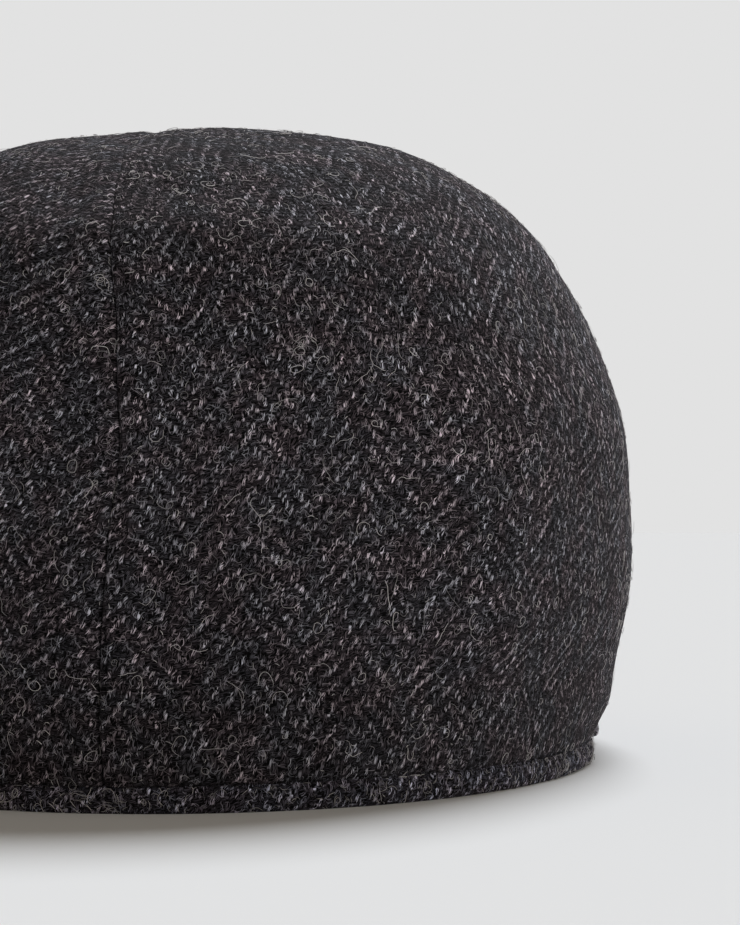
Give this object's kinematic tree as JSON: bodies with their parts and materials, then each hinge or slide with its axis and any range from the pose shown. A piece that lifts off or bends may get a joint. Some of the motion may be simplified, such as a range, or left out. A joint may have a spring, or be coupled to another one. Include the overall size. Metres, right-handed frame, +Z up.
{
  "type": "flat cap",
  "caption": "Soft herringbone tweed flat cap: rounded crown in two halves with a centre seam, turned rim band and short stiff peak under the front.",
  "frame": {"origin": "middle of the cap's overall box in plan, at the surface it stands on", "axes": "+Z up; the peak points along -Y, the back seam is towards +Y, and X = 0 is the plane of the centre seam"},
  "size_m": [0.1698, 0.2583, 0.1262],
  "materials": {
    "crown_tweed": "matt woollen herringbone tweed, near black with grey flecks and stray curled fibres",
    "rim_tweed": "the same tweed, turned under and stitched",
    "peak_tweed": "the same tweed over a stiff core, edge-stitched"
  },
  "bodies": {
    "root": {"crown_left": "crown_tweed", "crown_right": "crown_tweed", "rim_band": "rim_tweed", "peak": "peak_tweed"}
  },
  "joints": []
}
